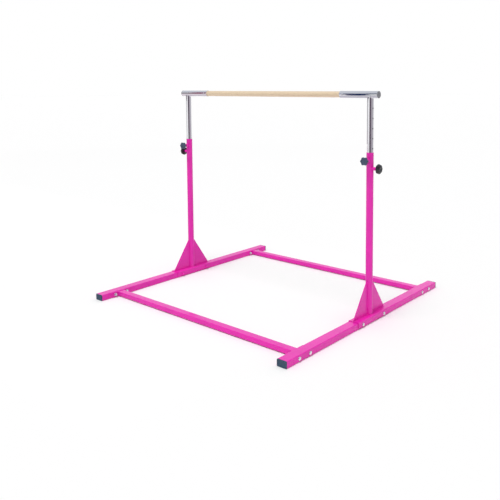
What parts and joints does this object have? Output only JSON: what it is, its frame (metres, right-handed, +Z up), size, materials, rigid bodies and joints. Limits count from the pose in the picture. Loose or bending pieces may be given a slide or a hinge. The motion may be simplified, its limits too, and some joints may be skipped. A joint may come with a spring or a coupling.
{
  "type": "gymnastics bar",
  "caption": "Height-adjustable children's horizontal bar: a wooden bar in chromed sleeves on telescoping round posts, on a floor frame of two side rails and two cross tubes.",
  "frame": {"origin": "on the floor, in the middle of the floor frame", "axes": "+X along the bar towards the right post, +Z up, -Y to the front, where the clamp knobs are"},
  "size_m": [1.455, 1.4, 1.168],
  "materials": {
    "pink_paint": "glossy pink powder coat on steel",
    "chrome": "bright chrome plate on steel",
    "zinc": "bright zinc plate",
    "steel": "plain turned steel",
    "navy_plastic": "dark blue moulded plastic",
    "black_plastic": "black moulded plastic with a blue cast",
    "grey_plastic": "grey moulded plastic",
    "beech": "pale beech, sanded and sealed",
    "fibreglass": "pultruded fibreglass rod",
    "nylon": "natural nylon"
  },
  "bodies": {
    "frame": {"front_cross_tube": "pink_paint", "rear_cross_tube": "pink_paint", "left_rail": "pink_paint", "left_foot_bracket": "pink_paint", "left_outer_post": "pink_paint", "left_clamp_boss": "pink_paint", "left_pin_housing": "pink_paint", "left_pin_spring": "steel", "left_front_rail_cap": "navy_plastic", "left_front_foot_bolt": "zinc", "left_front_cross_bolt_1": "zinc", "left_front_cross_nut_1": "zinc", "left_front_cross_bolt_2": "zinc", "left_front_cross_nut_2": "zinc", "left_rear_rail_cap": "navy_plastic", "left_rear_foot_bolt": "zinc", "left_rear_cross_bolt_1": "zinc", "left_rear_cross_nut_1": "zinc", "left_rear_cross_bolt_2": "zinc", "left_rear_cross_nut_2": "zinc", "right_rail": "pink_paint", "right_foot_bracket": "pink_paint", "right_outer_post": "pink_paint", "right_clamp_boss": "pink_paint", "right_pin_housing": "pink_paint", "right_pin_spring": "steel", "right_front_rail_cap": "navy_plastic", "right_front_foot_bolt": "zinc", "right_front_cross_bolt_1": "zinc", "right_front_cross_nut_1": "zinc", "right_front_cross_bolt_2": "zinc", "right_front_cross_nut_2": "zinc", "right_rear_rail_cap": "navy_plastic", "right_rear_foot_bolt": "zinc", "right_rear_cross_bolt_1": "zinc", "right_rear_cross_nut_1": "zinc", "right_rear_cross_bolt_2": "zinc", "right_rear_cross_nut_2": "zinc"},
    "bar": {"wooden_bar": "beech", "bar_core": "fibreglass", "left_sleeve": "chrome", "left_sleeve_cap": "grey_plastic", "left_sleeve_screw": "zinc", "left_inner_post": "chrome", "right_sleeve": "chrome", "right_sleeve_cap": "grey_plastic", "right_sleeve_screw": "zinc", "right_inner_post": "chrome"},
    "left_clamp_slider": {"left_clamp_pad": "nylon"},
    "left_clamp_screw": {"left_clamp_stud": "steel", "left_clamp_knob": "navy_plastic"},
    "left_lock": {"left_locking_pin": "steel", "left_pull_knob": "black_plastic"},
    "right_clamp_slider": {"right_clamp_pad": "nylon"},
    "right_clamp_screw": {"right_clamp_stud": "steel", "right_clamp_knob": "navy_plastic"},
    "right_lock": {"right_locking_pin": "steel", "right_pull_knob": "black_plastic"}
  },
  "joints": [
    {"name": "bar_height", "type": "slide", "parent": "frame", "child": "bar", "axis": [0, 0, 1], "range_m": [-0.25, 0.35]},
    {"name": "left_clamp_travel", "type": "slide", "parent": "frame", "child": "left_clamp_slider", "axis": [0, -1, 0], "range_m": [0, 0.003]},
    {"name": "left_clamp_turn", "type": "hinge", "parent": "left_clamp_slider", "child": "left_clamp_screw", "pos_m": [-0.665, -0.01655, 0.8225], "axis": [0, -1, 0], "range_deg": [0, 720]},
    {"name": "left_pin_pull", "type": "slide", "parent": "frame", "child": "left_lock", "axis": [-1, 0, 0], "range_m": [0, 0.0075], "stiffness_N_per_m": 800, "springref_m": -0.01, "deforming": ["left_pin_spring"]},
    {"name": "right_clamp_travel", "type": "slide", "parent": "frame", "child": "right_clamp_slider", "axis": [0, -1, 0], "range_m": [0, 0.003]},
    {"name": "right_clamp_turn", "type": "hinge", "parent": "right_clamp_slider", "child": "right_clamp_screw", "pos_m": [0.665, -0.01655, 0.8225], "axis": [0, -1, 0], "range_deg": [0, 720]},
    {"name": "right_pin_pull", "type": "slide", "parent": "frame", "child": "right_lock", "axis": [1, 0, 0], "range_m": [0, 0.0075], "stiffness_N_per_m": 800, "springref_m": -0.01, "deforming": ["right_pin_spring"]}
  ],
  "couplings": [
    {"joint": "left_clamp_travel", "follows": "left_clamp_turn", "m_per_rad": 0.00023873},
    {"joint": "right_clamp_travel", "follows": "right_clamp_turn", "m_per_rad": 0.00023873}
  ]
}
